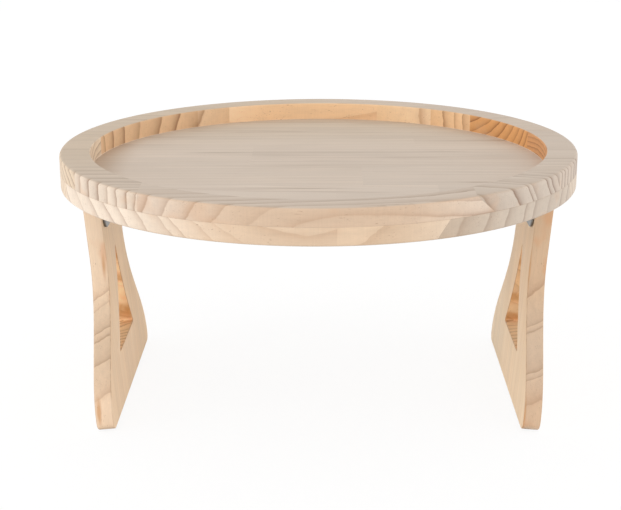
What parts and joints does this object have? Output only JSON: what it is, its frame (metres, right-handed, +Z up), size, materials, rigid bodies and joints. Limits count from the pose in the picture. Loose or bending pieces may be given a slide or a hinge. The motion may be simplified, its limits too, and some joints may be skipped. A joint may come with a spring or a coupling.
{
  "type": "sofa arm tray table",
  "caption": "Round pine tray table with a raised rim, on flared cut-out legs that fold inward on steel hinges to straddle a sofa arm.",
  "frame": {"origin": "on the floor under the middle of the round tray, the legs standing at their resting lean", "axes": "+Z up, +X from the left leg to the right leg, +Y towards the back, so the legs' wide sides face along X"},
  "size_m": [0.3, 0.3, 0.15],
  "materials": {
    "pine_rim": "sanded pale pine, thin matt clear coat",
    "pine_base": "sanded pale pine, thin matt clear coat",
    "pine_leg": "sanded pale pine, thin matt clear coat",
    "hinge_steel": "pressed steel, bright zinc",
    "screw_steel": "bright zinc"
  },
  "bodies": {
    "tray": {"tray_rim": "pine_rim", "tray_base": "pine_base", "left_front_hinge_tray_leaf": "hinge_steel", "left_front_hinge_pin": "hinge_steel", "left_front_hinge_tray_screw_1": "screw_steel", "left_front_hinge_tray_screw_2": "screw_steel", "left_back_hinge_tray_leaf": "hinge_steel", "left_back_hinge_pin": "hinge_steel", "left_back_hinge_tray_screw_1": "screw_steel", "left_back_hinge_tray_screw_2": "screw_steel", "right_front_hinge_tray_leaf": "hinge_steel", "right_front_hinge_pin": "hinge_steel", "right_front_hinge_tray_screw_1": "screw_steel", "right_front_hinge_tray_screw_2": "screw_steel", "right_back_hinge_tray_leaf": "hinge_steel", "right_back_hinge_pin": "hinge_steel", "right_back_hinge_tray_screw_1": "screw_steel", "right_back_hinge_tray_screw_2": "screw_steel"},
    "left_leg_body": {"left_leg": "pine_leg", "left_front_hinge_leg_leaf": "hinge_steel", "left_front_hinge_leg_screw_1": "screw_steel", "left_front_hinge_leg_screw_2": "screw_steel", "left_back_hinge_leg_leaf": "hinge_steel", "left_back_hinge_leg_screw_1": "screw_steel", "left_back_hinge_leg_screw_2": "screw_steel"},
    "right_leg_body": {"right_leg": "pine_leg", "right_front_hinge_leg_leaf": "hinge_steel", "right_front_hinge_leg_screw_1": "screw_steel", "right_front_hinge_leg_screw_2": "screw_steel", "right_back_hinge_leg_leaf": "hinge_steel", "right_back_hinge_leg_screw_1": "screw_steel", "right_back_hinge_leg_screw_2": "screw_steel"}
  },
  "joints": [
    {"name": "left_leg_fold", "type": "hinge", "parent": "tray", "child": "left_leg_body", "pos_m": [-0.1225, 0, 0.1272], "axis": [0, -1, 0], "range_deg": [-4.8, 69]},
    {"name": "right_leg_fold", "type": "hinge", "parent": "tray", "child": "right_leg_body", "pos_m": [0.1225, 0, 0.1272], "axis": [0, 1, 0], "range_deg": [-4.8, 69]}
  ]
}
